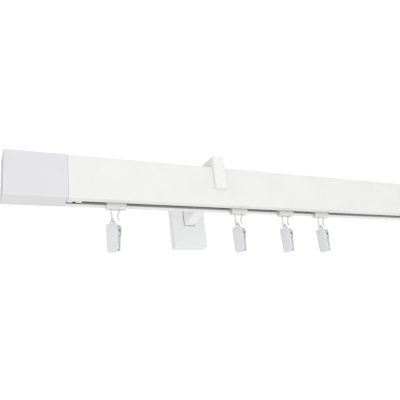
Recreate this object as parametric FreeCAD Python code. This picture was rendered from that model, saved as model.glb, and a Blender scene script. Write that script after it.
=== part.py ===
import FreeCAD, Part
import math
import os
from FreeCAD import Vector

# A curtain track on two wall brackets, with gliders that carry spring clips. All sizes in millimetres.
# X runs along the rail, +Y points to the wall and +Z is up. The origin lies on the wall, at the centre
# of the four screw holes of the two brackets.

# Rail
rail_length = 600.0
rail_height = 35.0
rail_depth = 20.0
rail_wall = 1.5
rail_corner = 0.8
rail_to_wall = 57.5
rail_drop = 21.0
lip_thickness = 1.8
slot_width = 6.4
channel_height = 6.5
web_thickness = 1.2
nut_slot_width = 6.0
nut_channel_height = 4.6

# End caps and end stops
cap_length = 45.0
cap_wall = 1.6
cap_edge = 0.6
cap_rim = 0.4
plug_length = 12.0
plug_wall = 1.4
plug_clearance = 0.15
stop_length = 10.8
stop_clearance = 0.3
stop_neck_clearance = 0.9
stop_screw_radius = 1.5
stop_screw_inset = 5.4
stop_screw_recess = 1.6
stop_socket_radius = 0.95

# Brackets
bracket_inset = 128.5
arm_width = 10.7
arm_height = 40.2
arm_rise = 9.0
strap_thickness = 9.2
tab_thickness = 3.5
tab_length = 20.5
tab_round = 1.3
arm_edge = 0.5
arm_round = 1.2
foot_width = 30.0
foot_height = 74.0
foot_thickness = 3.5
foot_corner = 3.0
hole_margin = 8.0
hole_radius = 2.25
countersink_radius = 4.4
cover_width = 34.0
cover_height = 78.0
cover_depth = 9.5
cover_wall = 2.0
cover_corner = 1.2
cover_bevel = 0.6
cover_clearance = 0.3
window_clearance = 0.5

# Clamp screw and nut that hold the rail up under the strap
clamp_radius = 2.0
clamp_head_radius = 3.6
clamp_head_height = 2.4
clamp_recess_radius = 4.4
clamp_recess_depth = 4.5
clamp_hole_clearance = 0.2
clamp_socket_radius = 1.5
clamp_tip = 0.8
nut_length = 14.0
nut_thickness = 3.0
nut_clearance = 0.6

# Gliders: how far along the rail each one stands
glider_places = (38.0, 149.5, 200.2, 242.5)
glider_length = 16.0
block_height = 4.0
block_depth = 5.8
block_round = 1.2
block_edge = 0.4
glider_gap = 0.4
neck_clearance = 0.35
flange_width = 12.5
flange_thickness = 2.4
flange_lift = 0.3

# Hook under each glider: a leg on the left that curls into a cradle, and a guard prong on the right
hook_wire_radius = 0.55
hook_seat_depth = 1.6
hook_leg_x = -4.2
cradle_x = -3.5
cradle_depth = 9.9
cradle_radius = 1.9
cradle_tip = 0.4
prong_x = 3.6
prong_knee = (0.6, 5.0)
prong_end = (1.5, 8.9)
hook_bend = 0.9

# Spring clip: how far each one hangs turned about the vertical
clip_turns = (44.0, 58.0, 64.0, 67.0)
clip_width = 9.1
clip_height = 22.0
clip_depth = 9.8
clip_foot_depth = 4.5
clip_sheet = 0.8
clip_corner = 1.2
clip_top_drop = 2.2
clip_fold = 3.7
clip_fold_lean = 0.4
clip_top_lip = 3.0
clip_foot_lip = 2.3
clip_nip = 0.4
clip_balance = 1.45
jaw_travel = 13.0
wall_gap = 0.5
wall_top_slant = 3.4
ear_radius = 1.9
pin_drop = 5.6
pin_set_back = 5.2
pin_radius = 0.8
pin_head_radius = 1.3
pin_head_length = 0.5
pin_running_gap = 0.06
lug_gap = 0.3
lug_height = 4.4

# Wire bail that hangs the clip in the cradle
bail_wire_radius = 0.45
bail_gap = 0.45
bail_foot_across = 1.6
bail_foot_out = 3.1
bail_foot_depth = 3.5
bail_slot_width = 2.2
bail_slot_depth = 4.4

# Leaf spring bent round the clip's pin
spring_width = 3.2
spring_sheet = 0.35
spring_bend = 1.45
spring_reach = 3.2
spring_back_lean = 0.2
spring_front_gap = 0.2

# Derived places
rail_bottom = -rail_drop
rail_top = rail_bottom + rail_height
rail_back = -rail_to_wall
rail_front = rail_back - rail_depth
rail_middle = (rail_front + rail_back) / 2
rail_start = -rail_length / 2
channel_floor = rail_bottom + lip_thickness
channel_roof = channel_floor + channel_height
nut_roof = rail_top - lip_thickness
nut_floor = nut_roof - nut_channel_height
chamber_floor = channel_roof + web_thickness
chamber_roof = nut_floor - web_thickness
inside_front = rail_front + rail_wall
inside_back = rail_back - rail_wall
strap_top = rail_top + strap_thickness
bracket_places = (rail_start + bracket_inset, -rail_start - bracket_inset)
hole_spacing = foot_height - 2 * hole_margin
block_top = -glider_gap
block_bottom = block_top - block_height
cradle_z = block_bottom - cradle_depth
bail_bend = hook_wire_radius + bail_gap + bail_wire_radius


def box(x_from, x_to, y_from, y_to, z_from, z_to):
    """A block between two corners."""
    size = (x_to - x_from, y_to - y_from, z_to - z_from)
    return Part.makeBox(*size, Vector(x_from, y_from, z_from))


def rod(radius, start, end):
    """A round bar from one point to another."""
    run = Vector(*end) - Vector(*start)
    return Part.makeCylinder(radius, run.Length, Vector(*start), run)


def prism(outline, x_from, x_to):
    """A closed outline of (y, z) points, drawn out along X."""
    points = [Vector(x_from, y, z) for y, z in outline]
    face = Part.Face(Part.makePolygon(points + points[:1]))
    return face.extrude(Vector(x_to - x_from, 0, 0))


def edges_along(shape, direction):
    """The straight edges of a shape that run in one direction."""
    found = []
    for edge in shape.Edges:
        if edge.Curve.TypeId == "Part::GeomLine":
            if abs(abs(edge.Curve.Direction.dot(direction)) - 1) < 1e-6:
                found.append(edge)
    return found


def rounded_box(x_from, x_to, y_from, y_to, z_from, z_to, radius, direction):
    """A block whose four edges in one direction are rounded."""
    block = box(x_from, x_to, y_from, y_to, z_from, z_to)
    return block.makeFillet(radius, edges_along(block, direction))


def bent_wire(corners, wire_radius):
    """A round wire through corners, each a point and the bend radius there: straights and swept bends."""
    points = [Vector(*point) for point, bend in corners]
    bends = [bend for point, bend in corners]
    pieces = []
    start = points[0]
    for before, corner, after, bend in zip(points, points[1:], points[2:], bends[1:]):
        back = (before - corner).normalize()
        ahead = (after - corner).normalize()
        half_angle = back.getAngle(ahead) / 2
        reach = bend / math.tan(half_angle)
        centre = corner + (back + ahead).normalize() * (bend / math.sin(half_angle))
        bend_start = corner + back * reach
        if start.distanceToPoint(bend_start) > 1e-4:
            pieces.append(rod(wire_radius, start, bend_start))
        section = Part.Face(Part.Wire(Part.makeCircle(wire_radius, bend_start, back)))
        turn = 180 - math.degrees(2 * half_angle)
        pieces.append(section.revolve(centre, ahead.cross(back), turn))
        start = corner + ahead * reach
    pieces.append(rod(wire_radius, start, points[-1]))
    return fused(pieces)


def sheet_outline(path, thickness):
    """Outline of a folded sheet: the path, and the same path moved to its left by the thickness."""
    normals = []
    for (y_from, z_from), (y_to, z_to) in zip(path, path[1:]):
        length = math.hypot(y_to - y_from, z_to - z_from)
        normals.append(((z_from - z_to) / length, (y_to - y_from) / length))
    moved = []
    for (y, z), before, after in zip(path, normals[:1] + normals, normals + normals[-1:]):
        scale = thickness / (1 + before[0] * after[0] + before[1] * after[1])
        moved.append((y + (before[0] + after[0]) * scale, z + (before[1] + after[1]) * scale))
    return list(path) + moved[::-1]


def fused(shapes):
    """One solid out of touching shapes, with the seams between them removed."""
    return shapes[0].multiFuse(shapes[1:]).removeSplitter()


def rail_profile():
    """Extruded rail: glider channel below, closed chamber, and a slotted channel for clamp nuts."""
    body = rounded_box(rail_start, -rail_start, rail_front, rail_back, rail_bottom, rail_top,
                       rail_corner, Vector(1, 0, 0))
    for floor, roof in ((channel_floor, channel_roof), (chamber_floor, chamber_roof), (nut_floor, nut_roof)):
        body = body.cut(box(rail_start, -rail_start, inside_front, inside_back, floor, roof))
    for width, floor, roof in ((slot_width, rail_bottom, channel_floor), (nut_slot_width, nut_roof, rail_top)):
        front = rail_middle - width / 2
        body = body.cut(box(rail_start, -rail_start, front, front + width, floor, roof))
    return body


def end_cap():
    """Left cap: a moulded shell that is open to the rail, with a square tube that plugs into its chamber."""
    outside = rail_start - cap_length
    shell = box(outside, rail_start, rail_front, rail_back, rail_bottom, rail_top)
    rim = [edge for edge in shell.Edges if edge.BoundBox.XMin < rail_start - 1e-3]
    shell = shell.makeFillet(cap_edge, rim)
    mouth = [edge for edge in shell.Edges if edge.BoundBox.XMin > rail_start - 1e-3]
    shell = shell.makeChamfer(cap_rim, mouth)
    hollow = box(outside + cap_wall, rail_start, rail_front + cap_wall, rail_back - cap_wall,
                 rail_bottom + cap_wall, rail_top - cap_wall)
    walls = [inside_front + plug_clearance, inside_back - plug_clearance,
             chamber_floor + plug_clearance, chamber_roof - plug_clearance]
    plug = box(outside + cap_wall / 2, rail_start + plug_length, *walls)
    bore = [walls[0] + plug_wall, walls[1] - plug_wall, walls[2] + plug_wall, walls[3] - plug_wall]
    plug = plug.cut(box(outside + cap_wall, rail_start + plug_length, *bore))
    return fused([shell.cut(hollow), plug])


def end_stop():
    """Left stop: a T-shaped block clamped in the glider channel by a grub screw."""
    start = rail_start + stop_clearance
    end = start + stop_length
    half_neck = slot_width / 2 - stop_neck_clearance
    half_head = (rail_depth - 2 * rail_wall) / 2 - stop_clearance
    neck = box(start, end, rail_middle - half_neck, rail_middle + half_neck, rail_bottom, channel_floor)
    head = box(start, end, rail_middle - half_head, rail_middle + half_head,
               channel_floor, channel_roof - stop_clearance)
    x = rail_start + stop_screw_inset
    hole = rod(stop_screw_radius, (x, rail_middle, rail_bottom), (x, rail_middle, channel_roof))
    return fused([neck, head]).cut(hole)


def stop_grub_screw():
    """Grub screw with a hexagon socket, standing against the web over the channel."""
    x = rail_start + stop_screw_inset
    base = rail_bottom + stop_screw_recess
    body = rod(stop_screw_radius, (x, rail_middle, base), (x, rail_middle, channel_roof))
    socket = hexagon(stop_socket_radius, x, rail_middle, base, base + 2)
    return body.cut(socket)


def hexagon(radius, x, y, z_from, z_to):
    """An upright hexagonal bar, measured to its corners."""
    points = []
    for step in range(7):
        angle = math.radians(60 * step)
        points.append(Vector(x + radius * math.cos(angle), y + radius * math.sin(angle), z_from))
    return Part.Face(Part.makePolygon(points)).extrude(Vector(0, 0, z_to - z_from))


def bracket(x):
    """One casting: screwed foot, deep arm, strap over the rail and tab down its front."""
    arm_bottom = strap_top - arm_height
    tab_bottom = rail_top - tab_length
    tab_front = rail_front - tab_thickness
    outline = [(tab_front, strap_top), (-foot_thickness, strap_top), (-foot_thickness, arm_bottom),
               (-cover_depth, arm_bottom), (rail_back, arm_bottom + arm_rise), (rail_back, rail_top),
               (rail_front, rail_top), (rail_front, tab_bottom), (tab_front, tab_bottom)]
    arm = prism(outline, x - arm_width / 2, x + arm_width / 2)
    toe = [edge for edge in edges_along(arm, Vector(0, 1, 0))
           if edge.BoundBox.YMax < rail_front + 1e-3 and edge.BoundBox.ZMax < tab_bottom + 1e-3]
    arm = arm.makeFillet(tab_round, toe)
    belly = [edge for edge in arm.Edges if edge.BoundBox.ZMax < arm_bottom + arm_rise + 1e-3
             and edge.BoundBox.YMin > rail_back - 1e-3 and edge.BoundBox.YLength > 1]
    arm = arm.makeFillet(arm_round, belly)
    front = [edge for edge in arm.Edges if edge.BoundBox.YMax < tab_front + 1e-3]
    arm = arm.makeChamfer(arm_edge, front)
    foot = rounded_box(x - foot_width / 2, x + foot_width / 2, -foot_thickness, 0,
                       -foot_height / 2, foot_height / 2, foot_corner, Vector(0, 1, 0))
    body = fused([arm, foot])
    sink = countersink_radius - hole_radius
    for z in (-hole_spacing / 2, hole_spacing / 2):
        hole = rod(hole_radius, (x, -foot_thickness, z), (x, 0, z))
        cone = Part.makeCone(countersink_radius, hole_radius, sink, Vector(x, -foot_thickness, z), Vector(0, 1, 0))
        body = body.cut(hole).cut(cone)
    clamp_hole = clamp_radius + clamp_hole_clearance
    body = body.cut(rod(clamp_hole, (x, rail_middle, rail_top), (x, rail_middle, strap_top)))
    recess_floor = strap_top - clamp_recess_depth
    return body.cut(rod(clamp_recess_radius, (x, rail_middle, recess_floor), (x, rail_middle, strap_top)))


def bracket_cover(x):
    """Push-on cover over the foot, with a window that the arm comes through."""
    side = cover_width / 2
    end = cover_height / 2
    shell = rounded_box(x - side, x + side, -cover_depth, 0, -end, end, cover_corner, Vector(0, 1, 0))
    rim = [edge for edge in shell.Edges if edge.BoundBox.YMax < -cover_depth + 1e-3]
    shell = shell.makeChamfer(cover_bevel, rim)
    room_side = foot_width / 2 + cover_clearance
    room_end = foot_height / 2 + cover_clearance
    room = rounded_box(x - room_side, x + room_side, cover_wall - cover_depth, 0, -room_end, room_end,
                       foot_corner, Vector(0, 1, 0))
    half_window = arm_width / 2 + window_clearance
    window = box(x - half_window, x + half_window, -cover_depth, 0,
                 strap_top - arm_height - window_clearance, strap_top + window_clearance)
    belly = [edge for edge in edges_along(window, Vector(0, 1, 0)) if edge.BoundBox.ZMax < strap_top - arm_height]
    window = window.makeFillet(arm_round + window_clearance, belly)
    return shell.cut(room).cut(window)


def clamp_screw(x):
    """Pan-head screw in the strap's recess, down into the nut in the rail's top channel."""
    seat = strap_top - clamp_recess_depth
    tip = nut_roof - nut_thickness - clamp_tip
    head = rod(clamp_head_radius, (x, rail_middle, seat), (x, rail_middle, seat + clamp_head_height))
    rim = [edge for edge in head.Edges if edge.BoundBox.ZMin > seat + clamp_head_height - 1e-3]
    head = head.makeChamfer(clamp_head_height / 4, rim)
    socket_floor = seat + clamp_head_height / 3
    socket = hexagon(clamp_socket_radius, x, rail_middle, socket_floor, seat + clamp_head_height)
    shank = rod(clamp_radius, (x, rail_middle, tip), (x, rail_middle, seat))
    return fused([head, shank]).cut(socket)


def clamp_nut(x):
    """Rectangular nut that pulls up against the lips of the rail's top channel."""
    front = inside_front + nut_clearance
    back = inside_back - nut_clearance
    plate = rounded_box(x - nut_length / 2, x + nut_length / 2, front, back,
                        nut_roof - nut_thickness, nut_roof, 1.0, Vector(0, 0, 1))
    return plate.cut(rod(clamp_radius, (x, rail_middle, nut_roof - nut_thickness), (x, rail_middle, nut_roof)))


def glider():
    """Slider in its own frame: flange in the channel, neck through the slot, block below the rail."""
    half = glider_length / 2
    flange_bottom = lip_thickness + flange_lift
    flange = rounded_box(-half, half, -flange_width / 2, flange_width / 2, flange_bottom,
                         flange_bottom + flange_thickness, flange_width / 3, Vector(0, 0, 1))
    half_neck = slot_width / 2 - neck_clearance
    neck = box(-half + block_round, half - block_round, -half_neck, half_neck, block_top, flange_bottom)
    block = rounded_box(-half, half, -block_depth / 2, block_depth / 2, block_bottom, block_top,
                        block_round, Vector(0, 0, 1))
    rim = [edge for edge in block.Edges if edge.BoundBox.ZMax < block_bottom + 1e-3]
    block = block.makeChamfer(block_edge, rim)
    body = fused([flange, neck, block])
    for corners in (hook_leg_corners(), hook_prong_corners()):
        body = body.cut(rod(hook_wire_radius, corners[0][0], corners[1][0]))
    return body


def hook_leg_corners():
    """The leg's path: out of the block, back and down, then round under the bail's apex."""
    curl_top = cradle_z + cradle_radius
    return [((hook_leg_x, 0, block_bottom + hook_seat_depth), 0),
            ((cradle_x, cradle_radius, curl_top + hook_bend), hook_bend),
            ((cradle_x, cradle_radius, cradle_z), cradle_radius),
            ((cradle_x, -cradle_radius, cradle_z), cradle_radius),
            ((cradle_x, -cradle_radius, curl_top + cradle_tip), 0)]


def hook_prong_corners():
    """The guard prong's path: in towards the cradle, then flared out."""
    return [((prong_x, 0, block_bottom + hook_seat_depth), 0),
            ((prong_knee[0], 0, block_bottom - prong_knee[1]), hook_bend),
            ((prong_end[0], 0, block_bottom - prong_end[1]), 0)]


def glider_hook():
    """Two wires pressed into the block."""
    wires = [bent_wire(corners, hook_wire_radius) for corners in (hook_leg_corners(), hook_prong_corners())]
    return Part.makeCompound(wires)


# The clip is drawn in its own frame: the cradle's wire crosses the origin, X runs across the jaws
# and Y from the front jaw to the back jaw.
clip_top = -clip_top_drop
clip_bottom = clip_top - clip_height
front_face = -clip_depth / 2 + clip_balance
pin_y = front_face + pin_set_back
pin_z = clip_top - pin_drop
jaw_slant = math.degrees(math.atan((clip_depth - clip_foot_depth) / clip_height))
back_face = front_face + clip_depth - pin_drop * math.tan(math.radians(jaw_slant))
back_reach = (back_face - pin_y) * math.cos(math.radians(jaw_slant))
wall_edge = back_face - clip_sheet / math.cos(math.radians(jaw_slant)) - wall_gap


def jaw_plate(path, bottom, top):
    """A folded jaw without its sides, its corners cut as seen from the front."""
    half = clip_width / 2
    plate = prism(sheet_outline(path, clip_sheet), -half, half)
    outline = box(-half, half, -clip_depth, clip_depth, bottom, top)
    outline = outline.makeChamfer(clip_corner, edges_along(outline, Vector(0, 1, 0)))
    return plate.common(outline)


def clip_front_jaw():
    """Front jaw: upright sheet with a lip at each end, and two side walls that hold the pin.

    The walls' edge stands upright over the pin and runs along the back jaw below it.
    """
    path = [(front_face + clip_fold_lean + clip_top_lip, clip_top), (front_face + clip_fold_lean, clip_top),
            (front_face, clip_top - clip_fold), (front_face, clip_bottom),
            (front_face + clip_foot_lip, clip_bottom)]
    pieces = [jaw_plate(path, clip_bottom, clip_top)]
    inner = clip_width / 2 - clip_sheet
    high = clip_top - clip_corner
    low = clip_bottom + clip_corner
    foot_edge = wall_edge - (pin_z - low) * math.tan(math.radians(jaw_slant))
    side = [(front_face + clip_sheet / 2, high), (wall_edge, high - wall_top_slant), (wall_edge, pin_z),
            (foot_edge, low), (front_face + clip_sheet / 2, low)]
    for x in (-clip_width / 2, inner):
        pieces.append(prism(side, x, x + clip_sheet))
    body = fused(pieces)
    body = body.cut(rod(pin_radius, (-clip_width, pin_y, pin_z), (clip_width, pin_y, pin_z)))
    foot, apex, _ = bail_corners()
    return body.cut(rod(bail_wire_radius, foot[0], apex[0]))


def clip_back_jaw():
    """Back jaw: drawn upright about the pin, then leant until its foot meets the front jaw's."""
    top = pin_z + pin_drop
    bottom = top - clip_height
    face = pin_y + back_reach
    foot_lip = clip_foot_depth - clip_foot_lip - clip_nip
    path = [(face - foot_lip, bottom), (face, bottom), (face, top - clip_fold),
            (face - clip_fold_lean, top), (face - clip_fold_lean - clip_top_lip, top)]
    pieces = [jaw_plate(path, bottom, top)]
    lug_outside = clip_width / 2 - clip_sheet - lug_gap
    arm = [(face - clip_sheet / 2, pin_z + lug_height / 2 + 1), (pin_y, pin_z + ear_radius),
           (pin_y, pin_z - ear_radius), (face - clip_sheet / 2, pin_z - lug_height / 2 - 1)]
    for x in (-lug_outside, lug_outside - clip_sheet):
        pieces.append(prism(arm, x, x + clip_sheet))
        pieces.append(rod(ear_radius, (x, pin_y, pin_z), (x + clip_sheet, pin_y, pin_z)))
    body = fused(pieces)
    hole = pin_radius + pin_running_gap
    body = body.cut(rod(hole, (-clip_width, pin_y, pin_z), (clip_width, pin_y, pin_z)))
    middle = bail_foot_across - 0.1
    slot = box(middle - bail_slot_width / 2, middle + bail_slot_width / 2, -clip_depth, clip_depth,
               top - bail_slot_depth, top + 1)
    body = body.cut(slot)
    body.rotate(Vector(0, pin_y, pin_z), Vector(1, 0, 0), -jaw_slant)
    return body


def clip_pin():
    """Riveted pin through both jaws' ears."""
    half = clip_width / 2
    shank = rod(pin_radius, (-half, pin_y, pin_z), (half, pin_y, pin_z))
    heads = []
    for side in (-1, 1):
        heads.append(rod(pin_head_radius, (side * half, pin_y, pin_z),
                         (side * (half + pin_head_length), pin_y, pin_z)))
    return fused([shank] + heads)


def clip_spring():
    """Leaf spring bent under the pin, its two legs pressing the tops of the jaws apart."""
    tip = pin_z + spring_reach
    path = [(front_face + clip_sheet + spring_front_gap, tip)]
    for step in range(7):
        angle = math.radians(190 + 160 * step / 6)
        path.append((pin_y + spring_bend * math.cos(angle), pin_z + spring_bend * math.sin(angle)))
    path.append((pin_y + spring_bend + spring_back_lean, tip))
    return prism(sheet_outline(path, spring_sheet), -spring_width / 2, spring_width / 2)


def bail_corners():
    """The bail's path: foot in the front jaw, apex over the cradle, foot in the back jaw."""
    half_span = math.hypot(bail_foot_across, bail_foot_out)
    apex = bail_bend
    for _ in range(20):
        half_angle = math.atan(half_span / (bail_foot_depth + apex))
        apex = bail_bend / math.sin(half_angle)
    across, out = bail_foot_across, bail_foot_out
    return [((-across, -out, -bail_foot_depth), 0), ((0, 0, apex), bail_bend),
            ((across, out, -bail_foot_depth), 0)]


def clip_bail():
    """Inverted V of wire that hangs the clip in the cradle."""
    return bent_wire(bail_corners(), bail_wire_radius)


def mirrored(shape):
    """The right-hand twin of a left-hand piece."""
    return shape.mirror(Vector(0, 0, 0), Vector(1, 0, 0))


def moved(shape, x, y, z, turn=0.0):
    """A copy of a shape, turned about its own vertical and carried to a place."""
    copy = shape.copy()
    copy.rotate(Vector(0, 0, 0), Vector(0, 0, 1), turn)
    copy.translate(Vector(x, y, z))
    return copy


def fixed_parts():
    """The rail, what closes its ends and what holds it to the wall."""
    parts = {"rail_profile": rail_profile()}
    for name, shape in (("end_cap", end_cap()), ("end_stop", end_stop())):
        parts[name + "_left"] = shape
        parts[name + "_right"] = mirrored(shape)
    screw = stop_grub_screw()
    parts["stop_grub_screws"] = Part.makeCompound([screw, mirrored(screw)])
    for side, x in zip(("left", "right"), bracket_places):
        parts["bracket_" + side] = bracket(x)
        parts["bracket_cover_" + side] = bracket_cover(x)
    parts["clamp_screws"] = Part.makeCompound([clamp_screw(x) for x in bracket_places])
    parts["clamp_nuts"] = Part.makeCompound([clamp_nut(x) for x in bracket_places])
    return parts


def hanging_parts():
    """Each glider with its hook and its clip."""
    glider_shapes = {"glider": glider(), "glider_hook": glider_hook()}
    clip_shapes = {"clip_bail": clip_bail(), "clip_front_jaw": clip_front_jaw(),
                   "clip_back_jaw": clip_back_jaw(), "clip_pin": clip_pin(), "clip_spring": clip_spring()}
    parts = {}
    for number, (place, turn) in enumerate(zip(glider_places, clip_turns), start=1):
        x = rail_start + place
        for name, shape in glider_shapes.items():
            parts["%s_%d" % (name, number)] = moved(shape, x, rail_middle, rail_bottom)
        for name, shape in clip_shapes.items():
            parts["%s_%d" % (name, number)] = moved(shape, x + cradle_x, rail_middle,
                                                    rail_bottom + cradle_z, -turn)
    return parts


def main():
    os.makedirs("parts", exist_ok=True)
    for name, shape in {**fixed_parts(), **hanging_parts()}.items():
        shape.exportStep("parts/%s.step" % name)


main()
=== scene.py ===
import math

import bpy
import numpy as np
from mathutils import Matrix, Vector


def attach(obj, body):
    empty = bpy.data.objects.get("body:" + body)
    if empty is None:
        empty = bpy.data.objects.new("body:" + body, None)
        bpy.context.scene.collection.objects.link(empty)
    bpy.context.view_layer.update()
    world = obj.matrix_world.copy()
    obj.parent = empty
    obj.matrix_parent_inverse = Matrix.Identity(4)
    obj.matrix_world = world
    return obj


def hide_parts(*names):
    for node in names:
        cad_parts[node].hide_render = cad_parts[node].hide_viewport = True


# A white curtain track seen from below and from its left end: a powder-coated rail with moulded end caps,
# two wall brackets, four gliders with wire hooks, and a folded-steel spring clip on each. Lengths are in
# millimetres up to the point where a mesh is filled. X runs along the rail, +Y to the wall and +Z up.

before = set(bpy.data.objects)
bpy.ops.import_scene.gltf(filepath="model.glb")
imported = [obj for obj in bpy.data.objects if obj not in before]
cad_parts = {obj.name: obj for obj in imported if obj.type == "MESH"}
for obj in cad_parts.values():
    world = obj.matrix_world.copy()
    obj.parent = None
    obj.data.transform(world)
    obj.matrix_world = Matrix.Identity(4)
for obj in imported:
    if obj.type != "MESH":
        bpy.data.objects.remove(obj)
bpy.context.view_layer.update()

MM = 0.001
SAME_POINT = 1e-5
SAME_STATION = 1e-4
HAIR = 0.02

# Rail
RAIL_START = -300.0
RAIL_MIDDLE = -67.5
RAIL_FRONT = -77.5
RAIL_BOTTOM = -21.0
RAIL_TOP = 14.0
CHANNEL_ROOF = -12.7
CHANNEL_HALF = 8.5
NUT_ROOF = 12.2
COVER_DEPTH = 9.5
FOOT_GROUND = 3.0
CAP_END = 345.0

# Screws
STOP_SCREW_X = RAIL_START + 5.4
STOP_SCREW_RADIUS = 1.5
STOP_SCREW_BASE = RAIL_BOTTOM + 1.6
STOP_SOCKET = 0.95
STOP_HOLE = 1.6
STOP_SOCKET_DEPTH = 2.0
STOP_PITCH = 0.5
STOP_THREAD = 0.22
STOP_RUN_OUT = 0.25
STOP_POINT = 0.3
SOCKET_EASE = 0.15
SOCKET_FLARE = 0.12
SOCKET_MOUTH = 0.6
THREAD_STEPS = 8
CLAMP_X = 171.5
CLAMP_RADIUS = 2.0
CLAMP_SEAT = 18.7
CLAMP_TIP = 8.4
CLAMP_HEAD_RADIUS = 3.6
CLAMP_HEAD_HEIGHT = 2.4
CLAMP_SOCKET = 1.5
CLAMP_RIM = 0.8
CLAMP_PITCH = 0.7
CLAMP_THREAD = 0.3
CLAMP_POINT = 0.5
CLAMP_RUN_IN = 0.35
CLAMP_PLAIN = 1.2
CLAMP_HEAD_EASE = 0.1

# Gliders, each in its own frame: its middle on X, the slot's middle on Y and the rail's underside on Z
GLIDER_PLACES = (38.0, 149.5, 200.2, 242.5)
GLIDER_HALF = 8.0
BLOCK_TOP = -0.4
BLOCK_BOTTOM = -4.4
BLOCK_HALF_DEPTH = 2.9
BLOCK_ROUND = 0.6
GLIDER_RIM = 0.45
STEP_HEIGHT = 2.3
STEP_DEPTH = 0.12
STEP_FALL = 0.1
NECK_HALF_DEPTH = 2.85
NECK_EASE = 0.3
NECK_CORNER = 0.4
FLANGE_FLOOR = 2.1
FLANGE_ROOF = 4.5
FLANGE_HALF_DEPTH = 6.25
FLANGE_ROUND = 4.16

# Wires under each glider
WIRE_DOME = 0.6
HOOK_WIRE = 0.7
HOOK_SEAT = 1.6
HOOK_LEG_X = -4.2
CRADLE_X = -3.5
CRADLE_Z = -14.3
CRADLE_RADIUS = 1.9
CRADLE_TIP = 0.4
PRONG_X = 3.6
PRONG_KNEE = (0.6, 5.0)
PRONG_END = (1.5, 8.9)
HOOK_BEND = 0.9
BAIL_WIRE = 0.55
BAIL_BEND = 1.45
BAIL_ACROSS = 1.6
BAIL_OUT = 2.9
BAIL_DROP = 3.5

# Spring clip, in its own frame: the cradle's wire crosses the origin and Y runs from front jaw to back jaw
CLIP_TURNS = (44.0, 58.0, 64.0, 67.0)
CLIP_HALF = 4.55
CLIP_HEIGHT = 22.0
CLIP_DEPTH = 9.8
CLIP_FOOT_DEPTH = 4.5
CLIP_SHEET = 0.8
CLIP_CORNER = 1.2
CLIP_TOP = -2.2
CLIP_BOTTOM = CLIP_TOP - CLIP_HEIGHT
CLIP_FOLD = 3.7
CLIP_FOLD_LEAN = 0.4
CREASE_DEPTH = 0.45
CREASE_HALF = 0.6
CREASE_REST = 0.02
CREASE_BEND = 0.3
TOP_BEND = 1.5
LIP_CORNER = 1.0
FOOT_LIP_REACH = (3.5, 4.0, 4.3)
TOP_LIP_REACH = (4.0, 3.8, 3.3)
BACK_TOP_LIP_HALF = 3.2
BACK_FOOT_LIP_HALF = 3.3
TOP_LIP = 3.0
FOOT_LIP = 2.3
FOOT_NIP = 0.4
FRONT_FACE = -3.45
PIN_Y = FRONT_FACE + 5.2
PIN_DROP = 5.6
PIN_Z = CLIP_TOP - PIN_DROP
PIN_RADIUS = 0.8
PIN_HEAD = 1.3
PIN_HEAD_LENGTH = 0.5
EAR_RADIUS = 1.9
LUG_OUTSIDE = 3.45
LUG_HEIGHT = 4.4
BAIL_SLOT = (0.4, 2.6)
BAIL_SLOT_DEPTH = 4.4
TONGUE_ROOT = 1.0
WALL_GAP = 1.5
WALL_TOP_SLANT = 3.4
WALL_BELOW_EAR = 3.2
WALL_AT_FOOT = 2.2
WALL_START = 0.1
WALL_RISE = 0.25
WALL_START_ROWS = (0.1, 0.2, 0.3)
EAR_DROP = 2.2
EAR_FOOT = PIN_Z - EAR_DROP
EAR_SLANT = 1.2
FLANGE_GAP = 1.0
FLANGE_CUT = 1.0
FLANGE_DROP = 0.3
SHEET_BEND = 0.7
SHEET_EDGE = 0.5
LEAST_WALL = 0.05
LEAST_BEND = 0.1
JAW_SLANT = math.atan((CLIP_DEPTH - CLIP_FOOT_DEPTH) / CLIP_HEIGHT)
BACK_AT_PIN = FRONT_FACE + CLIP_DEPTH - PIN_DROP * math.tan(JAW_SLANT)
BACK_FACE = PIN_Y + (BACK_AT_PIN - PIN_Y) * math.cos(JAW_SLANT)
WALL_EDGE = BACK_AT_PIN - CLIP_SHEET / math.cos(JAW_SLANT) - WALL_GAP
SPRING_HALF = 1.6
SPRING_SHEET = 0.35
SPRING_BEND = 1.45
SPRING_REACH = 3.2
SPRING_LEAN = 0.2
SPRING_FRONT_GAP = 0.2

# Photograph's viewpoint
CAMERA_PLACE = (-0.36646, -0.40101, -0.15173)
CAMERA_YAW = 28.198
CAMERA_PITCH = 20.061
CAMERA_ROLL = -7.393
CAMERA_LENS = 42.28

# Light: the sky's strength by direction, and two softboxes with their watts, places and targets
SKY_FRONT_LOW = 1.1
SKY_FRONT_HIGH = 0.92
SKY_BEHIND_LEFT = 0.55
SKY_BEHIND = 1.05
LOW_WATTS = 1.4
LEFT_WATTS = 0.26
SOFTBOX_SIZE = (0.5, 0.5)
LOW_PLACE = (-0.32, -0.55, -0.65)
LOW_TARGET = (-0.15, -0.06, -0.03)
LEFT_PLACE = (-0.95, -0.5, 0.0)
LEFT_TARGET = (-0.2, -0.05, -0.03)

# Surfaces: one plastic and lacquer index, blob sizes of tint and gloss, and how deep light enters acetal
PLASTIC_IOR = 1.5
CLOUD_MM = 22.0
GLOSS_MM = 5.0
GLOW_DEPTH = 2.0


def unit(vectors):
    """Each vector of an array, made one long."""
    return vectors / np.linalg.norm(vectors, axis=-1, keepdims=True)


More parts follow.
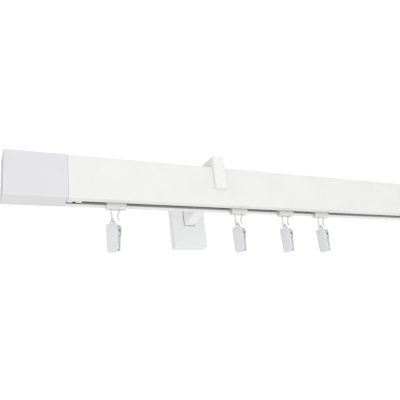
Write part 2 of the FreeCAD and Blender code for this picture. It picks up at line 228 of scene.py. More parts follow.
def closed_rings(rings):
    """Points and faces of a body made of a stack of rings, with a pole in the middle of each end ring.

    The rings have the shape (rows, around, 3). Seen from where the stack leads they run anticlockwise,
    and that turns the faces outwards.
    """
    rows, around, _ = rings.shape
    points = np.concatenate([rings.reshape(-1, 3), rings[[0, -1]].mean(axis=1)])
    row, step = np.meshgrid(np.arange(rows - 1), np.arange(around), indexing="ij")
    here = row * around + step
    beside = row * around + (step + 1) % around
    sides = np.stack([here, beside, beside + around, here + around], axis=-1).reshape(-1, 4)
    pole = np.full(around, rows * around)
    first = np.stack([beside[0], here[0], pole], axis=-1)
    last = np.stack([here[-1] + around, beside[-1] + around, pole + 1], axis=-1)
    return points, sides.tolist() + first.tolist() + last.tolist()


def rounded_path(corners, bends, steps=7):
    """A run of straights whose inner corners are turned on arcs.

    An arc touches both straights at bend / tan(half the corner's angle) from the corner. Its points are
    centre + (sin((1 - t) turn) a + sin(t turn) b) / sin(turn), where a and b are the arc's first and
    last spokes.
    """
    corners = np.array(corners, float)
    pieces = [corners[:1]]
    for before, corner, after, bend in zip(corners, corners[1:], corners[2:], bends):
        back = unit(before - corner)
        ahead = unit(after - corner)
        half = math.acos(float(back @ ahead)) / 2
        turn = math.pi - 2 * half
        centre = corner + unit(back + ahead) * bend / math.sin(half)
        first = corner + back * bend / math.tan(half) - centre
        last = corner + ahead * bend / math.tan(half) - centre
        share = np.linspace(0, 1, steps)[:, None]
        arc = (np.sin((1 - share) * turn) * first + np.sin(share * turn) * last) / math.sin(turn)
        pieces.append(centre + arc)
    path = np.concatenate(pieces + [corners[-1:]])
    apart = np.linalg.norm(np.diff(path, axis=0), axis=1) > SAME_POINT
    return path[np.append(True, apart)]


def directions(path):
    """The way ahead at each point of a path: along each end run, and between two runs at an inner point."""
    runs = unit(np.diff(path, axis=0))
    return unit(np.concatenate([runs[:1], runs[:-1] + runs[1:], runs[-1:]]))


def wire(path, radius, reference, sides=16):
    """Round wire with domed ends.

    Its rings are centre + r (cos a e1 + sin a e2) across the path, and r falls as a quarter ellipse at
    each end. e1 is square to the path and to the reference, which the path never runs along.
    """
    ahead = directions(path)
    dome = np.radians([20.0, 45.0, 70.0, 90.0])[:, None]
    reach = WIRE_DOME * radius * (1 - np.cos(dome))
    ends = (path[0] + ahead[0] * reach, path[-1] - ahead[-1] * reach[::-1])
    centres = np.concatenate([ends[0], path[1:-1], ends[1]])
    ahead = np.concatenate([np.repeat(ahead[:1], 4, axis=0), ahead[1:-1], np.repeat(ahead[-1:], 4, axis=0)])
    size = np.concatenate([np.sin(dome), np.ones((len(path) - 2, 1)), np.sin(dome[::-1])]) * radius
    first = unit(np.cross(ahead, np.array(reference, float)))
    second = np.cross(ahead, first)
    angle = np.arange(sides) * 2 * math.pi / sides
    ring = first[:, None] * np.cos(angle)[:, None] + second[:, None] * np.sin(angle)[:, None]
    return closed_rings(centres[:, None] + size[:, None] * ring)


def rounded_section(left, right, low, high, corner, steps=4):
    """Rounded rectangles, one a row, as anticlockwise rings of (u, v).

    Each point is its corner's centre plus corner (cos a, sin a), with a running through one quarter at
    each corner.
    """
    values = (left, right, low, high, corner)
    left, right, low, high, corner = (np.atleast_1d(value)[:, None] for value in values)
    angle = np.radians(np.arange(4)[:, None] * 90 + np.linspace(0, 90, steps)).ravel()
    quarter = np.repeat(np.arange(4), steps)
    to_right = (quarter == 0) | (quarter == 3)
    to_top = quarter < 2
    u = np.where(to_right, right - corner, left + corner) + corner * np.cos(angle)
    v = np.where(to_top, high - corner, low + corner) + corner * np.sin(angle)
    return np.stack([u, v], axis=-1)


def folded(path, sections):
    """Carries sections across a path of (y, z) points.

    A section's u lies along X, and its v is square to the path, on the left of +X seen along it. The two
    give x = u and (y, z) = path + v (ahead z, -ahead y).
    """
    ahead = directions(path)
    inward = np.stack([ahead[:, 1], -ahead[:, 0]], axis=-1)
    side = path[:, None] + sections[..., 1:] * inward[:, None]
    return closed_rings(np.concatenate([sections[..., :1], side], axis=-1))


def joined(bodies):
    """Several bodies as one list of points and one of faces."""
    points = []
    faces = []
    count = 0
    for body_points, body_faces in bodies:
        points.append(body_points)
        faces += [[index + count for index in face] for face in body_faces]
        count += len(body_points)
    return np.concatenate(points), faces


def make_piece(name, body_mesh, material, rides_on, node, crease=40.0):
    """Fills a mesh from millimetres, smooths it up to the crease angle, and puts it for a CAD node."""
    points, faces = body_mesh
    mesh = bpy.data.meshes.new(name)
    mesh.from_pydata((points * MM).tolist(), [], faces)
    mesh.shade_smooth()
    mesh.set_sharp_from_angle(angle=math.radians(crease))
    mesh.materials.append(material)
    piece = bpy.data.objects.new(name, mesh)
    bpy.context.collection.objects.link(piece)
    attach(piece, rides_on)
    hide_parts(node)
    return piece


def at_glider(body_mesh, number):
    """Carries a piece from the glider's own frame to its place on the rail."""
    points, faces = body_mesh
    return points + np.array([RAIL_START + GLIDER_PLACES[number - 1], RAIL_MIDDLE, RAIL_BOTTOM]), faces


def at_clip(body_mesh, number):
    """Turns a piece of a clip about the vertical and hangs it in its glider's cradle."""
    points, faces = body_mesh
    turn = -math.radians(CLIP_TURNS[number - 1])
    x = points[:, 0] * math.cos(turn) - points[:, 1] * math.sin(turn)
    y = points[:, 0] * math.sin(turn) + points[:, 1] * math.cos(turn)
    hung = np.stack([x + CRADLE_X, y, points[:, 2] + CRADLE_Z], axis=-1)
    return at_glider((hung, faces), number)


def glider_body():
    """One moulding: a block under the rail, a neck through the slot and a wide flange in the channel.

    It is a stack of rounded rectangles of height z. The block's lower rim and the flange's rims roll over
    on quarter circles, and the block has a shallow ejector step round its middle.
    """
    roll = np.radians([0.0, 30.0, 60.0, 90.0])
    inset = GLIDER_RIM * (1 - np.sin(roll))
    rise = GLIDER_RIM * (1 - np.cos(roll))
    step = STEP_DEPTH * np.array([0, 1, 1, 2])
    line = BLOCK_BOTTOM + STEP_HEIGHT
    neck_x = np.full(2, GLIDER_HALF - BLOCK_ROUND)
    neck_y = np.full(2, NECK_HALF_DEPTH - NECK_EASE)
    x = [GLIDER_HALF - inset, GLIDER_HALF - step, neck_x, GLIDER_HALF - inset, GLIDER_HALF - inset[::-1]]
    y = [BLOCK_HALF_DEPTH - inset, BLOCK_HALF_DEPTH - step, neck_y,
         FLANGE_HALF_DEPTH - inset, FLANGE_HALF_DEPTH - inset[::-1]]
    z = [BLOCK_BOTTOM + rise, [line, line + STEP_FALL, BLOCK_TOP - STEP_FALL, BLOCK_TOP],
         [BLOCK_TOP, FLANGE_FLOOR], FLANGE_FLOOR + rise, FLANGE_ROOF - rise[::-1]]
    x, y, z = (np.concatenate(values) for values in (x, y, z))
    corner = np.repeat([BLOCK_ROUND, NECK_CORNER, FLANGE_ROUND - GLIDER_RIM], [8, 2, 8])
    rings = rounded_section(-x, x, -y, y, corner, 7)
    heights = np.broadcast_to(z[:, None, None], rings.shape[:2] + (1,))
    return closed_rings(np.concatenate([rings, heights], axis=-1))


def hook_wires():
    """The hook's leg, which curls back and up under the bail, and the guard prong, kneed and flared."""
    curl_top = CRADLE_Z + CRADLE_RADIUS
    leg = rounded_path([(HOOK_LEG_X, 0, BLOCK_BOTTOM + HOOK_SEAT),
                        (CRADLE_X, CRADLE_RADIUS, curl_top + HOOK_BEND),
                        (CRADLE_X, CRADLE_RADIUS, CRADLE_Z),
                        (CRADLE_X, -CRADLE_RADIUS, CRADLE_Z),
                        (CRADLE_X, -CRADLE_RADIUS, curl_top + CRADLE_TIP)],
                       (HOOK_BEND, CRADLE_RADIUS, CRADLE_RADIUS))
    prong = rounded_path([(PRONG_X, 0, BLOCK_BOTTOM + HOOK_SEAT),
                          (PRONG_KNEE[0], 0, BLOCK_BOTTOM - PRONG_KNEE[1]),
                          (PRONG_END[0], 0, BLOCK_BOTTOM - PRONG_END[1])], (HOOK_BEND,))
    return joined([wire(leg, HOOK_WIRE, (1, 0, 0)), wire(prong, HOOK_WIRE, (0, 1, 0))])


def bail_wire():
    """An inverted V of wire: two feet, and an apex bent over the cradle.

    The apex stands at bend / sin(half its angle) over the bend's centre. That angle and the apex's height
    give each other, so they are found by turns.
    """
    apex = BAIL_BEND
    for _ in range(20):
        half = math.atan(math.hypot(BAIL_ACROSS, BAIL_OUT) / (BAIL_DROP + apex))
        apex = BAIL_BEND / math.sin(half)
    corners = [(-BAIL_ACROSS, -BAIL_OUT, -BAIL_DROP), (0, 0, apex), (BAIL_ACROSS, BAIL_OUT, -BAIL_DROP)]
    path = rounded_path(corners, (BAIL_BEND,), 13)
    return wire(path, BAIL_WIRE, (BAIL_OUT, -BAIL_ACROSS, 0), 14)


def measured(path):
    """How far along a path each of its points lies."""
    return np.append(0, np.cumsum(np.linalg.norm(np.diff(path, axis=0), axis=1)))


def resampled(path, extra):
    """A path with more points at stated distances along it. Gives the distances and the points."""
    along = measured(path)
    stations = np.union1d(along, np.clip(extra, 0, along[-1]))
    stations = stations[np.append(True, np.diff(stations) > SAME_STATION)]
    return stations, np.stack([np.interp(stations, along, path[:, axis]) for axis in (0, 1)], axis=-1)


def channel_section(reach):
    """Sections of a sheet bent up at both sides, for the half width that the flat sheet had, one a row.

    Out to s = a the sheet is flat. Over the bend its angle is (s - a) / r, with u = a + r sin and
    v = r (1 - cos), and past it the wall stands up. The ring runs along the outside, round one edge on
    half an ellipse, back along the inside and round the other edge.
    """
    thick = CLIP_SHEET / 2
    flat = CLIP_HALF - thick - SHEET_BEND
    arc = SHEET_BEND * math.pi / 2
    reach = np.asarray(reach, float)[:, None] - SHEET_EDGE * thick
    wall = np.maximum(reach - flat - arc, LEAST_WALL)
    bend = np.clip(reach - flat, LEAST_BEND, arc)
    level = reach - wall - bend
    half = np.concatenate([level * np.array([0, 0.5, 1]), level + bend * np.linspace(0.14, 1, 7),
                           level + bend + wall * np.array([0.3, 0.7, 1])], axis=1)
    s = np.concatenate([-half[:, ::-1], half[:, 1:]], axis=1)
    side = np.sign(s)
    angle = np.clip((np.abs(s) - flat) / SHEET_BEND, 0, math.pi / 2)
    u = side * (np.minimum(np.abs(s), flat) + SHEET_BEND * np.sin(angle))
    v = SHEET_BEND * (1 - np.cos(angle)) + np.maximum(np.abs(s) - flat - arc, 0)
    middle = np.stack([u, v], axis=-1)
    outward = np.stack([side * np.sin(angle), -np.cos(angle)], axis=-1)
    onward = np.stack([np.cos(angle), side * np.sin(angle)], axis=-1)
    roll = np.radians([45.0, 90.0, 135.0])[:, None]
    outwards = thick * np.cos(roll)
    onwards = SHEET_EDGE * thick * np.sin(roll)
    right = middle[:, -1:] + outwards * outward[:, -1:] + onwards * onward[:, -1:]
    left = middle[:, :1] + outwards * outward[:, :1] - onwards * onward[:, :1]
    outside = middle + thick * outward
    inside = middle - thick * outward
    return np.concatenate([outside, right, inside[:, ::-1], left[:, ::-1]], axis=1)


def front_jaw_path():
    """Middle of the front jaw's sheet as (y, z) points: foot lip, plate, pressed crease and top lip."""
    thick = CLIP_SHEET / 2
    plate = FRONT_FACE + thick
    crease = CLIP_TOP - CLIP_FOLD
    corners = [(FRONT_FACE + FOOT_LIP, CLIP_BOTTOM + thick),
               (plate, CLIP_BOTTOM + thick),
               (plate, crease - CREASE_HALF),
               (plate + CREASE_DEPTH, crease),
               (plate + CREASE_REST, crease + CREASE_HALF),
               (plate + CLIP_FOLD_LEAN, CLIP_TOP - thick),
               (plate + CLIP_FOLD_LEAN + TOP_LIP - thick, CLIP_TOP - thick)]
    return rounded_path(corners, (SHEET_BEND, CREASE_BEND, CREASE_BEND, CREASE_BEND, SHEET_BEND), 5)


def front_jaw():
    """Front jaw: one sheet with a lip at foot and top and a wall down each side.

    The sheet is carried along its path from the foot up. The half width that it had when flat is given at
    heights up the plate, and it holds the wall's height: a narrow wall from the foot up, an ear that
    carries the pin, and a slanting shoulder.
    """
    path = front_jaw_path()
    plate = FRONT_FACE + CLIP_SHEET / 2
    bend_reach = CLIP_HALF - CLIP_SHEET / 2 - SHEET_BEND + SHEET_BEND * (math.pi / 2 - 1)
    low = CLIP_BOTTOM + CLIP_CORNER
    high = CLIP_TOP - CLIP_CORNER
    heights = [low - WALL_START, low + WALL_RISE, EAR_FOOT - EAR_SLANT, EAR_FOOT,
               PIN_Z, high - WALL_TOP_SLANT, high]
    edges = np.array([FRONT_FACE + WALL_AT_FOOT, FRONT_FACE + WALL_BELOW_EAR,
                      WALL_EDGE - EAR_DROP * math.tan(JAW_SLANT), WALL_EDGE, WALL_EDGE])
    reaches = [*FOOT_LIP_REACH, *(bend_reach + edges - plate), *TOP_LIP_REACH]
    along = measured(path)
    marks = np.interp(heights, np.maximum.accumulate(path[:, 1]), along)
    near = np.concatenate([marks, marks[0] + np.array(WALL_START_ROWS),
                           np.linspace(marks[5], marks[6], 5), np.linspace(marks[1], marks[5], 13)])
    stations, path = resampled(path, near)
    places = [0, LIP_CORNER, *marks, along[-1] - LIP_CORNER, along[-1]]
    return folded(path, channel_section(np.interp(stations, places, reaches)))


def plain_strip(path, left, right, sheet=CLIP_SHEET):
    """A flat strip of sheet carried along a path, from left to right across X, with its edges eased."""
    rows = len(path)
    left = np.broadcast_to(left, rows)
    right = np.broadcast_to(right, rows)
    half = np.full(rows, sheet / 2)
    return folded(path, rounded_section(left, right, -half, half, np.full(rows, sheet * 0.3)))


def slab(outline, x_from, x_to, edge=0.15):
    """A flat piece with an outline of (y, z) points, its two rims eased towards the outline's middle."""
    outline = np.array(outline, float)
    centre = outline.mean(axis=0)
    spokes = outline - centre
    shrunk = centre + spokes * (1 - edge / np.linalg.norm(spokes, axis=1, keepdims=True))
    x = np.array([x_from, x_from + edge, x_to - edge, x_to])
    sides = np.stack([shrunk, outline, outline, shrunk])
    across = np.broadcast_to(x[:, None, None], sides.shape[:2] + (1,))
    return closed_rings(np.concatenate([across, sides], axis=-1))


def jaw_sheet():
    """The back jaw's sheet, upright: a strip up to the bail's slot, and a tongue on each side of the slot.

    The tongues are a hair thinner and start inside the strip.
    """
    thick = CLIP_SHEET / 2
    plate = BACK_FACE - thick
    foot_lip = CLIP_FOOT_DEPTH - FOOT_LIP - FOOT_NIP
    corners = [(BACK_FACE - CLIP_FOLD_LEAN - TOP_LIP, CLIP_TOP - thick),
               (plate - CLIP_FOLD_LEAN, CLIP_TOP - thick),
               (plate, CLIP_TOP - CLIP_FOLD),
               (plate, CLIP_BOTTOM + thick),
               (BACK_FACE - foot_lip, CLIP_BOTTOM + thick)]
    path = rounded_path(corners, (SHEET_BEND, TOP_BEND, SHEET_BEND))
    along = measured(path)
    fall = np.minimum.accumulate(path[:, 1])[::-1]
    heights = [CLIP_TOP - BAIL_SLOT_DEPTH, CLIP_TOP - CLIP_CORNER, CLIP_BOTTOM + CLIP_CORNER]
    split, shoulder, ankle = np.interp(heights, fall, along[::-1])
    stations, path = resampled(path, [split, split + TONGUE_ROOT, shoulder, ankle])
    widths = [BACK_TOP_LIP_HALF, CLIP_HALF, CLIP_HALF, BACK_FOOT_LIP_HALF]
    half = np.interp(stations, [0, shoulder, ankle, along[-1]], widths)
    lower = stations > split - 2 * SAME_STATION
    upper = stations < split + TONGUE_ROOT + 2 * SAME_STATION
    return [plain_strip(path[lower], -half[lower], half[lower]),
            plain_strip(path[upper], HAIR - half[upper], BAIL_SLOT[0], CLIP_SHEET - HAIR),
            plain_strip(path[upper], BAIL_SLOT[1], half[upper] - HAIR, CLIP_SHEET - HAIR)]


def lug_outline():
    """A lug of the upright back jaw in (y, z): a half circle round the pin, with its root in the sheet."""
    angle = np.radians(np.linspace(90, 270, 13))
    round_end = np.stack([PIN_Y + EAR_RADIUS * np.cos(angle), PIN_Z + EAR_RADIUS * np.sin(angle)], axis=-1)
    plate = BACK_FACE - CLIP_SHEET / 2
    root = LUG_HEIGHT / 2 + 1
    return np.concatenate([round_end, [(plate, PIN_Z - root), (plate, PIN_Z), (plate, PIN_Z + root)]])


def flange_outline():
    """A side flange of the leant back jaw in (y, z), which ends a gap behind the front jaw's wall."""
    high = EAR_FOOT - EAR_SLANT - FLANGE_DROP
    low = CLIP_BOTTOM + CLIP_CORNER
    middle = BACK_AT_PIN - CLIP_SHEET / 2
    edge_high = FRONT_FACE + WALL_BELOW_EAR + FLANGE_GAP
    edge_low = FRONT_FACE + WALL_AT_FOOT + FLANGE_GAP
    return [(edge_high + FLANGE_CUT, high),
            (edge_high, high - FLANGE_CUT),
            (edge_low, low),
            (middle - (PIN_Z - low) * math.tan(JAW_SLANT), low),
            (middle - (PIN_Z - high) * math.tan(JAW_SLANT), high)]


def leant(points):
    """Turns points of the upright back jaw about the pin, towards the front jaw's foot."""
    y = points[:, 1] - PIN_Y
    z = points[:, 2] - PIN_Z
    lean_y = PIN_Y + y * math.cos(JAW_SLANT) + z * math.sin(JAW_SLANT)
    lean_z = PIN_Z - y * math.sin(JAW_SLANT) + z * math.cos(JAW_SLANT)
    return np.stack([points[:, 0], lean_y, lean_z], axis=-1)


def back_jaw():
    """Back jaw: a slotted sheet with lips at top and foot, two lugs on the pin, and two side flanges."""
    upright = jaw_sheet()
    for x in (-LUG_OUTSIDE, LUG_OUTSIDE - CLIP_SHEET):
        upright.append(slab(lug_outline(), x, x + CLIP_SHEET))
    points, faces = joined(upright)
    parts = [(leant(points), faces)]
    for x in (HAIR - CLIP_HALF, CLIP_HALF - CLIP_SHEET - HAIR):
        parts.append(slab(flange_outline(), x, x + CLIP_SHEET))
    return joined(parts)


def clip_pin():
    """Riveted pin, turned about X: a shank, and a head at each end that falls as a quarter ellipse."""
    roll = np.radians([15.0, 40.0, 65.0, 90.0])
    head_x = CLIP_HALF + PIN_HEAD_LENGTH * np.cos(roll)
    head_r = PIN_HEAD * np.sin(roll)
    x = np.concatenate([-head_x, [-CLIP_HALF, CLIP_HALF], head_x[::-1]])
    radius = np.concatenate([head_r, [PIN_RADIUS, PIN_RADIUS], head_r[::-1]])[:, None]
    angle = np.arange(24) * 2 * math.pi / 24
    across = np.broadcast_to(x[:, None], (len(x), 24))
    y = PIN_Y + radius * np.cos(angle)
    z = PIN_Z + radius * np.sin(angle)
    return closed_rings(np.stack([across, y, z], axis=-1))


def clip_spring():
    """Leaf spring: a strip that goes down inside the back jaw, under the pin on an arc, and up again."""
    middle = SPRING_BEND - SPRING_SHEET / 2
    tip = PIN_Z + SPRING_REACH
    angle = np.radians(np.linspace(350, 190, 13))
    arc = np.stack([PIN_Y + middle * np.cos(angle), PIN_Z + middle * np.sin(angle)], axis=-1)
    first = [(PIN_Y + middle + SPRING_LEAN, tip)]
    last = [(FRONT_FACE + CLIP_SHEET + SPRING_FRONT_GAP + SPRING_SHEET / 2, tip)]
    return plain_strip(np.concatenate([first, arc, last]), -SPRING_HALF, SPRING_HALF, SPRING_SHEET)


def turned_screw(x, rows, pitch, depth, sides=48):
    """A screw of rings round an upright axis, each of radius r (1 - h + h hexagon(a)) - g depth t.

    A row holds a ring's height, its radius r, how far it is a hexagon h, and how far it is grooved g. The
    hexagon's radius is cos 30 / cos(a to the nearest flat's middle). The thread's t is a triangle wave of
    height / pitch - a / turn, so that it climbs one pitch a turn.
    """
    heights, radii, hexed, grooved = np.array(rows, float).T[..., None]
    angle = np.arange(sides) * 2 * math.pi / sides
    flat = math.cos(math.pi / 6) / np.cos(angle % (math.pi / 3) - math.pi / 6)
    climb = (heights / pitch - angle / (2 * math.pi)) % 1
    radius = radii * (1 - hexed + hexed * flat) - grooved * depth * np.abs(2 * climb - 1)
    ring_x = x + radius * np.cos(angle)
    ring_y = RAIL_MIDDLE + radius * np.sin(angle)
    return closed_rings(np.stack([ring_x, ring_y, np.broadcast_to(heights, radius.shape)], axis=-1))


def grub_screw(x):
    """M3 grub screw: down its hexagon socket, out over the rim, and up the thread to the rail's web."""
    base = STOP_SCREW_BASE
    rows = [(base + STOP_SOCKET_DEPTH, STOP_SOCKET, 1, 0),
            (base + SOCKET_EASE, STOP_SOCKET, 1, 0),
            (base, STOP_SOCKET + SOCKET_FLARE, SOCKET_MOUTH, 0),
            (base, STOP_SCREW_RADIUS - STOP_THREAD, 0, 0)]
    for height in np.arange(base + STOP_RUN_OUT, CHANNEL_ROOF - STOP_RUN_OUT, STOP_PITCH / THREAD_STEPS):
        rows.append((height, STOP_SCREW_RADIUS, 0, 1))
    rows.append((CHANNEL_ROOF, STOP_SCREW_RADIUS - STOP_POINT, 0, 0))
    return turned_screw(x, rows, STOP_PITCH, STOP_THREAD)


def clamp_screw(x):
    """M4 pan-head screw: up the threaded shank, out under the head, over its rim and down the socket."""
    head_top = CLAMP_SEAT + CLAMP_HEAD_HEIGHT
    rows = [(CLAMP_TIP, CLAMP_RADIUS - CLAMP_POINT, 0, 0)]
    for height in np.arange(CLAMP_TIP + CLAMP_RUN_IN, CLAMP_SEAT - CLAMP_PLAIN, CLAMP_PITCH / THREAD_STEPS):
        rows.append((height, CLAMP_RADIUS, 0, 1))
    rows += [(CLAMP_SEAT, CLAMP_RADIUS, 0, 0),
             (CLAMP_SEAT, CLAMP_HEAD_RADIUS - CLAMP_HEAD_EASE, 0, 0)]
    for roll in np.radians([0.0, 30.0, 60.0, 90.0]):
        height = head_top - CLAMP_RIM + CLAMP_RIM * math.sin(roll)
        rows.append((height, CLAMP_HEAD_RADIUS - CLAMP_RIM + CLAMP_RIM * math.cos(roll), 0, 0))
    rows += [(head_top, CLAMP_SOCKET + SOCKET_EASE, SOCKET_MOUTH, 0),
             (head_top - SOCKET_EASE, CLAMP_SOCKET, 1, 0),
             (CLAMP_SEAT + CLAMP_HEAD_HEIGHT / 3, CLAMP_SOCKET, 1, 0)]
    return turned_screw(x, rows, CLAMP_PITCH, CLAMP_THREAD)


def add_node(tree, kind, sockets=None, **settings):
    """Adds a shader node, sets its options, and fills its sockets with values or with links."""
    node = tree.nodes.new("ShaderNode" + kind)
    for key, value in settings.items():
        setattr(node, key, value)
    for key, value in (sockets or {}).items():
        if isinstance(value, bpy.types.NodeSocket):
            tree.links.new(value, node.inputs[key])
        else:
            node.inputs[key].default_value = value
    return node


def srgb(code):
    """An sRGB hex colour as linear RGBA."""
    values = np.array([int(code[start:start + 2], 16) for start in (1, 3, 5)]) / 255
    linear = np.where(values <= 0.04045, values / 12.92, ((values + 0.055) / 1.055) ** 2.4)
    return (*linear.tolist(), 1.0)


def speckle(tree, place, size_mm, detail=2.0, stretch=(1.0, 1.0, 1.0)):
    """Soft noise whose blobs are about size_mm across, drawn out where stretch is over 1."""
    per_metre = [1000.0 / (size_mm * factor) for factor in stretch]
    scaled = add_node(tree, "Mapping", {"Vector": place, "Scale": per_metre}).outputs[0]
    return add_node(tree, "TexNoise", {"Vector": scaled, "Scale": 1.0, "Detail": detail}).outputs[0]


def between(tree, factor, low, high):
    """Turns noise from 0.3 to 0.7 into a value from low to high."""
    sockets = {"Value": factor, "From Min": 0.3, "From Max": 0.7, "To Min": low, "To Max": high}
    return add_node(tree, "MapRange", sockets).outputs["Result"]


def tinted(tree, factor, light, dark):
    """A colour between two hex codes."""
    sockets = {0: factor, 6: srgb(light), 7: srgb(dark)}
    return add_node(tree, "Mix", sockets, data_type="RGBA").outputs[2]


def finish(name, light, dark, roughness, grain_mm, grain_height_mm, stretch=(1.0, 1.0, 1.0), metallic=0.0):
    """A surface with a slow change of tint, uneven gloss and a fine grain, all in the piece's own place."""
    material = bpy.data.materials.new(name)
    material.use_nodes = True
    tree = material.node_tree
    surface = tree.nodes["Principled BSDF"]
    surface.inputs["Metallic"].default_value = metallic
    surface.inputs["IOR"].default_value = PLASTIC_IOR
    place = add_node(tree, "TexCoord").outputs["Object"]
    cloud = between(tree, speckle(tree, place, CLOUD_MM), 0.0, 1.0)
    gloss = between(tree, speckle(tree, place, GLOSS_MM), roughness - 0.05, roughness + 0.05)
    grain = speckle(tree, place, grain_mm, 1.0, stretch)
    relief = add_node(tree, "Bump", {"Height": grain, "Distance": grain_height_mm * MM, "Strength": 1.0})
    tree.links.new(tinted(tree, cloud, light, dark), surface.inputs["Base Color"])
    tree.links.new(gloss, surface.inputs["Roughness"])
    tree.links.new(relief.outputs[0], surface.inputs["Normal"])
    return material


def bare_and_shade_patch(coat, colour, metallic, tests):
    """Shows a plain surface under a coat where a piece's own place passes every test: bare metal in some
    places, a patch of painted shade in others.

    A test is an axis, a centre, a comparison and a limit: it compares the distance from the centre, in
    millimetres, with the limit. Without a centre it compares the place itself.
    """
    tree = coat.node_tree
    place = add_node(tree, "SeparateXYZ", {"Vector": add_node(tree, "TexCoord").outputs["Object"]})
    inside = None
    for axis, centre, comparison, limit in tests:
        value = place.outputs[axis]
        if centre is not None:
            value = add_node(tree, "Math", {0: value, 1: centre * MM}, operation="SUBTRACT").outputs[0]
            value = add_node(tree, "Math", {0: value}, operation="ABSOLUTE").outputs[0]
        passed = add_node(tree, "Math", {0: value, 1: limit * MM}, operation=comparison).outputs[0]
        if inside is not None:
            passed = add_node(tree, "Math", {0: inside, 1: passed}, operation="MULTIPLY").outputs[0]
        inside = passed
    # The patch's colour is bare metal in some uses and painted shade in others.
    sockets = {"Base Color": srgb(colour), "Metallic": metallic, "Roughness": 0.5}
    patch_surface = add_node(tree, "BsdfPrincipled", sockets).outputs[0]
    output = tree.nodes["Material Output"].inputs["Surface"]
    both = add_node(tree, "MixShader", {0: inside, 1: output.links[0].from_socket, 2: patch_surface})
    tree.links.new(both.outputs[0], output)
    return coat


def rail_finish():
    """Polyester powder coat on extruded aluminium, with bare metal in the channels, out of its reach, its
    grey set as painted shade.
    """
    # The coat gives a warm satin white with faint lines along the rail from the die. The channels' bare
    # metal is a cool grey set as painted shade that makes the slot look dark. The die lines are drawn
    # coarser than they are, so as to show.
    coat = finish("powder_coated_extrusion", "#ededeb", "#eaeae8", roughness=0.42, grain_mm=1.4,
                  grain_height_mm=0.012, stretch=(60.0, 1.0, 1.0))
    # Bare metal in the channels, its grey darkened as painted shade so the slot reads dark.
    return bare_and_shade_patch(coat, "#cbced0", 0.6, [("Y", RAIL_MIDDLE, "LESS_THAN", CHANNEL_HALF + 0.1),
                                        ("Z", None, "GREATER_THAN", RAIL_BOTTOM + 0.3),
                                        ("Z", None, "LESS_THAN", NUT_ROOF + 0.1)])


def cap_finish():
    """Injection-moulded ABS, with painted shade on the cap's end face."""
    # It gives an even cool white with a soft sheen, and an end painted a duller, slightly darker grey as
    # shade.
    coat = finish("moulded_cap_plastic", "#e0e0e2", "#dddddf", roughness=0.45,
                  grain_mm=0.5, grain_height_mm=0.008)
    # Painted shade: a darker, duller grey on both end faces, for the end turned from the light.
    return bare_and_shade_patch(coat, "#cccccf", 0.0, [("X", 0.0, "GREATER_THAN", CAP_END - 0.25)])


def stop_finish():
    """Injection-moulded stop: white where it shows, with painted shade in the screw's hole and a painted
    shadow at the back in the slot.
    """
    # It gives a white face like the rail's, on which the screw's hole and the gap behind it are painted near
    # black as shade.
    coat = finish("moulded_stop_plastic", "#f0efec", "#ecebe8", roughness=0.45,
                  grain_mm=0.5, grain_height_mm=0.008)
    # Painted shade: near black on the walls of the screw's hole.
    bare_and_shade_patch(coat, "#2e2f31", 0.0, [("X", 0.0, "GREATER_THAN", -STOP_SCREW_X - STOP_HOLE),
                                 ("X", 0.0, "LESS_THAN", STOP_HOLE - STOP_SCREW_X),
                                 ("Y", RAIL_MIDDLE, "LESS_THAN", STOP_HOLE),
                                 ("Z", None, "GREATER_THAN", RAIL_BOTTOM + 0.15)])
    # Painted shadow: near black on the stop behind the slot's middle, for the gap at its back.
    return bare_and_shade_patch(coat, "#2e2f31", 0.0, [("Y", None, "GREATER_THAN", RAIL_MIDDLE + 0.4)])


def glider_finish():
    """Injection-moulded acetal, a little translucent."""
    # It gives a warm milky white: light that enters a face comes out round its edges and softens them.
    plastic = finish("slippery_acetal", "#dddeda", "#dadbd7", roughness=0.3,
                     grain_mm=0.8, grain_height_mm=0.006)
    surface = plastic.node_tree.nodes["Principled BSDF"]
    surface.inputs["Subsurface Weight"].default_value = 0.8
    surface.inputs["Subsurface Radius"].default_value = (1.0, 1.0, 1.0)
    surface.inputs["Subsurface Scale"].default_value = GLOW_DEPTH * MM
    return plastic


def bracket_finish():
    """Polyester powder coat on a zinc casting, whose foot is left bare under the cover in a grey dark enough
    to be painted shade, with a painted contact shadow along the tab.
    """
    # The coat gives the brightest satin white on the object. The foot is bare zinc, dull grey as cast, set
    # dark as painted shade to draw the dark gap round the arm in the cover's window, and brighter where the
    # foot's back is ground flat for the wall.
    # Where the tab lies on the rail a fine grey line is painted as contact shadow.
    coat = finish("powder_coated_casting", "#f1f1f0", "#eeeeed", roughness=0.4,
                  grain_mm=0.9, grain_height_mm=0.01)
    # Bare zinc foot, its dark grey also painted shade for the gap in the cover's window.
    bare_and_shade_patch(coat, "#5f6265", 0.6, [("Y", None, "GREATER_THAN", 0.2 - COVER_DEPTH)])
    bare_and_shade_patch(coat, "#c4c7c9", 0.4, [("Y", None, "GREATER_THAN", -FOOT_GROUND)])
    # Painted contact shadow: a fine grey line on the tab where it lies on the rail.
    return bare_and_shade_patch(coat, "#a8aaab", 0.0, [("Y", RAIL_FRONT, "LESS_THAN", 0.3),
                                        ("Z", None, "LESS_THAN", RAIL_TOP)])


def paint(names, material):
    """Gives CAD nodes their finish."""
    for name in names:
        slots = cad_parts[name].material_slots
        if not slots:
            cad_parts[name].data.materials.append(material)
        for slot in slots:
            slot.material = material


def make_floor():
    """Plain pale floor, well under the hanging rail: matt paint, which gives an even pale grey."""
    half = 3.0
    height = -1.0
    mesh = bpy.data.meshes.new("studio_floor")
    corners = [(-half, -half, height), (half, -half, height), (half, half, height), (-half, half, height)]
    mesh.from_pydata(corners, [], [(0, 1, 2, 3)])
    floor = bpy.data.objects.new("studio_floor", mesh)
    bpy.context.collection.objects.link(floor)
    mesh.materials.append(finish("pale_floor", "#efefef", "#ececed", roughness=0.8,
                                 grain_mm=3.0, grain_height_mm=0.01))


